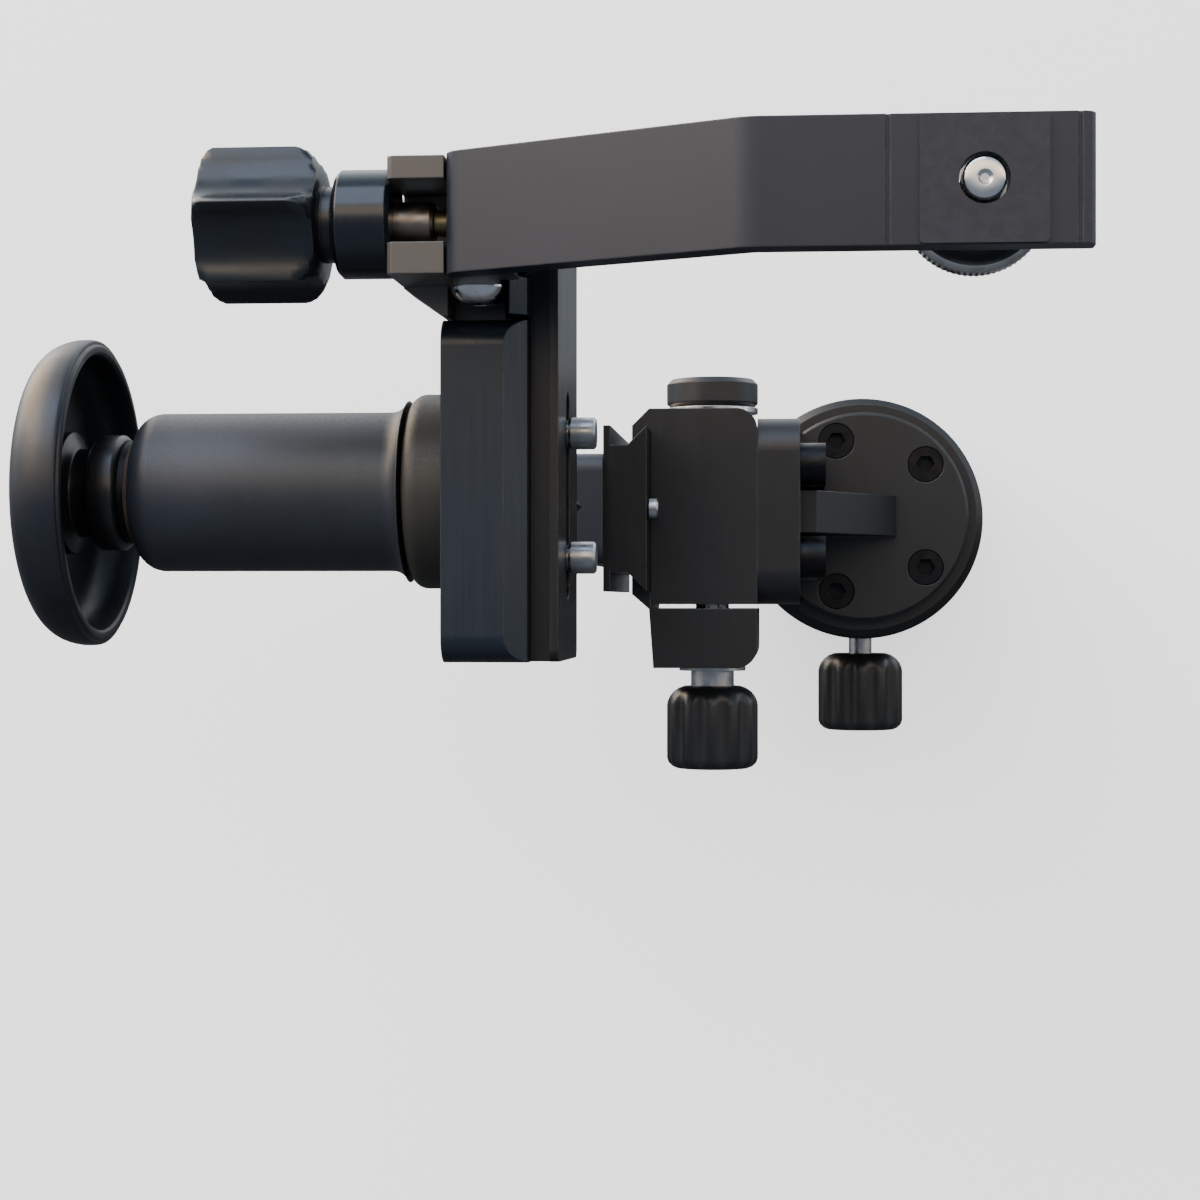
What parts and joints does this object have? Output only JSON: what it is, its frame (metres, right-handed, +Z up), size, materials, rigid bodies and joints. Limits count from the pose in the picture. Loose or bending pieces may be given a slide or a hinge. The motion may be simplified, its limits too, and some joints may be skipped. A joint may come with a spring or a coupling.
{
  "type": "gimbal tripod head",
  "caption": "Side-mount gimbal tripod head: panning base, J-shaped arm, tilt barrel with handwheel, dovetail lens clamp and plate, and a telephoto bracket with a bent arm.",
  "frame": {"origin": "centre of the tripod socket in the bottom face of the base, under the pan axis", "axes": "+Z up along the pan axis, +Y where the lens looks at rest, +X to the right; the tilt axis lies along X"},
  "size_m": [0.1951, 0.122, 0.2622],
  "materials": {
    "base_coat": "satin black anodised aluminium",
    "arm_coat": "fine matte charcoal powder coat on cast aluminium",
    "flange_coat": "matte powder coat, slightly olive charcoal",
    "clamp_anodised": "satin black anodised aluminium with a navy sheen",
    "bracket_anodised": "satin dark grey anodised aluminium",
    "boom_anodised": "satin grey-black anodised bar",
    "collar_anodised": "blue-black anodised turned aluminium",
    "plate_anodised": "satin black anodised aluminium",
    "handwheel_black": "satin black moulded plastic",
    "knob_black": "satin black moulded plastic",
    "bracket_knob_black": "smooth slate-black moulded plastic",
    "hub_black": "dark anodised turned aluminium",
    "steel": "plain machined steel",
    "bright_steel": "bright stainless steel",
    "black_screw": "black oxide steel screws",
    "bearing_steel": "ground bearing steel",
    "brass": "plain turned brass",
    "pad_rubber": "thin matte rubber",
    "brake_lining": "fibre friction lining",
    "nylon": "natural nylon"
  },
  "bodies": {
    "base": {"tripod_base": "base_coat", "tripod_bushing": "steel", "pan_bearing": "bearing_steel"},
    "turntable": {"pan_turntable": "base_coat", "pan_spindle": "steel", "pan_nut": "steel", "pan_brake_ring": "steel", "riser_bracket": "base_coat", "riser_screws": "black_screw", "mast_clamp_body": "base_coat", "mast_clamp_screws": "black_screw", "mast_guide_pins": "steel", "mast_cap_ring": "bright_steel", "mast_cap_nut": "knob_black"},
    "pan_shoe": {"pan_brake_shoe": "brass"},
    "pan_lock": {"pan_lock_screw": "steel", "pan_lock_knob": "knob_black"},
    "mast_jaw": {"mast_clamp_jaw": "base_coat", "mast_clamp_washer": "steel"},
    "mast_lock": {"mast_clamp_spindle": "steel", "mast_clamp_knob": "knob_black"},
    "arm": {"gimbal_arm": "arm_coat", "mast_dovetail": "plate_anodised", "mast_dovetail_screws": "black_screw", "mast_stop_screws": "steel", "tilt_bearings": "bearing_steel"},
    "tilt": {"tilt_shaft": "steel", "bearing_spacer": "steel", "tilt_flange": "flange_coat", "flange_screws": "black_screw", "brake_disc": "brake_lining", "lens_clamp_body": "clamp_anodised", "lens_guide_pins": "steel"},
    "tilt_washer": {"lock_washer": "black_screw"},
    "tilt_lock": {"handwheel": "handwheel_black", "handwheel_hub": "hub_black", "handwheel_stud": "steel"},
    "lens_jaw": {"lens_clamp_jaw": "clamp_anodised", "lens_clamp_washer": "steel"},
    "lens_lock": {"lens_clamp_spindle": "steel", "lens_clamp_knob": "knob_black"},
    "plate": {"lens_plate": "plate_anodised", "lens_screws": "steel", "plate_stop_pin": "steel"},
    "bracket": {"bracket_body": "bracket_anodised", "bracket_arm": "boom_anodised", "bracket_arm_screws": "black_screw", "bracket_hinge_screw": "bright_steel", "bracket_collar": "collar_anodised", "shoe_pad": "pad_rubber"},
    "bracket_lever": {"bracket_jaw": "clamp_anodised"},
    "bracket_tip": {"bracket_screw_tip": "brass"},
    "bracket_lock": {"bracket_screw": "steel", "bracket_knob": "bracket_knob_black"},
    "stud_slider": {"shoe_washer": "nylon"},
    "stud_screw": {"shoe_disc": "bright_steel", "shoe_stud": "bright_steel"}
  },
  "joints": [
    {"name": "pan_turn", "type": "hinge", "parent": "base", "child": "turntable", "pos_m": [0, 0, 0.0335], "axis": [0, 0, 1], "continuous": true},
    {"name": "pan_shoe_slide", "type": "slide", "parent": "base", "child": "pan_shoe", "axis": [0, -1, 0], "range_m": [0, 0.001]},
    {"name": "pan_lock_turn", "type": "hinge", "parent": "pan_shoe", "child": "pan_lock", "pos_m": [0, -0.035, 0.01823], "axis": [0, -1, 0], "range_deg": [0, 360.18]},
    {"name": "mast_jaw_slide", "type": "slide", "parent": "turntable", "child": "mast_jaw", "axis": [0, -1, 0], "range_m": [0, 0.00375]},
    {"name": "mast_lock_turn", "type": "hinge", "parent": "mast_jaw", "child": "mast_lock", "pos_m": [-0.0371, -0.04175, 0.073], "axis": [0, -1, 0], "range_deg": [0, 1080.54]},
    {"name": "height_slide", "type": "slide", "parent": "turntable", "child": "arm", "axis": [0, 0, 1], "range_m": [-0.008, 0.008]},
    {"name": "tilt_turn", "type": "hinge", "parent": "arm", "child": "tilt", "pos_m": [-0.1449, 0, 0.191], "axis": [1, 0, 0], "range_deg": [-90, 195]},
    {"name": "tilt_washer_slide", "type": "slide", "parent": "tilt", "child": "tilt_washer", "axis": [-1, 0, 0], "range_m": [0, 0.00125]},
    {"name": "tilt_lock_turn", "type": "hinge", "parent": "tilt_washer", "child": "tilt_lock", "pos_m": [-0.14725, 0, 0.191], "axis": [-1, 0, 0], "range_deg": [0, 360.18]},
    {"name": "lens_jaw_slide", "type": "slide", "parent": "tilt", "child": "lens_jaw", "axis": [0, 0, -1], "range_m": [0, 0.0035]},
    {"name": "lens_lock_turn", "type": "hinge", "parent": "lens_jaw", "child": "lens_lock", "pos_m": [-0.07667, -0.00085, 0.15795], "axis": [0, 0, -1], "range_deg": [0, 1260.63]},
    {"name": "plate_slide", "type": "slide", "parent": "tilt", "child": "plate", "axis": [0, 1, 0], "range_m": [0, 0.025]},
    {"name": "bracket_slide", "type": "slide", "parent": "plate", "child": "bracket", "axis": [0, 1, 0], "range_m": [0, 0.008]},
    {"name": "bracket_jaw_swing", "type": "hinge", "parent": "bracket", "child": "bracket_lever", "pos_m": [-0.0752, 0.047, 0.214], "axis": [0, -1, 0], "range_deg": [0, 18.01]},
    {"name": "bracket_tip_slide", "type": "slide", "parent": "bracket", "child": "bracket_tip", "axis": [-1, 0, 0], "range_m": [0, 0.00406]},
    {"name": "bracket_lock_turn", "type": "hinge", "parent": "bracket_tip", "child": "bracket_lock", "pos_m": [-0.1022, 0.047, 0.222], "axis": [-1, 0, 0], "range_deg": [0, 1170.59]},
    {"name": "stud_slide", "type": "slide", "parent": "bracket", "child": "stud_slider", "axis": [0, 0, 1], "range_m": [0, 0.01]},
    {"name": "stud_turn", "type": "hinge", "parent": "stud_slider", "child": "stud_screw", "pos_m": [0.0131, 0.047, 0.243], "axis": [0, 0, 1], "continuous": true}
  ],
  "couplings": [
    {"joint": "pan_lock_turn", "follows": "pan_shoe_slide", "rad_per_m": 6283.2},
    {"joint": "mast_lock_turn", "follows": "mast_jaw_slide", "rad_per_m": 5026.5},
    {"joint": "tilt_lock_turn", "follows": "tilt_washer_slide", "rad_per_m": 5026.5},
    {"joint": "lens_lock_turn", "follows": "lens_jaw_slide", "rad_per_m": 6283.2},
    {"joint": "bracket_jaw_swing", "follows": "bracket_tip_slide", "rad_per_m": 77.332},
    {"joint": "bracket_lock_turn", "follows": "bracket_tip_slide", "rad_per_m": 5026.5}
  ]
}
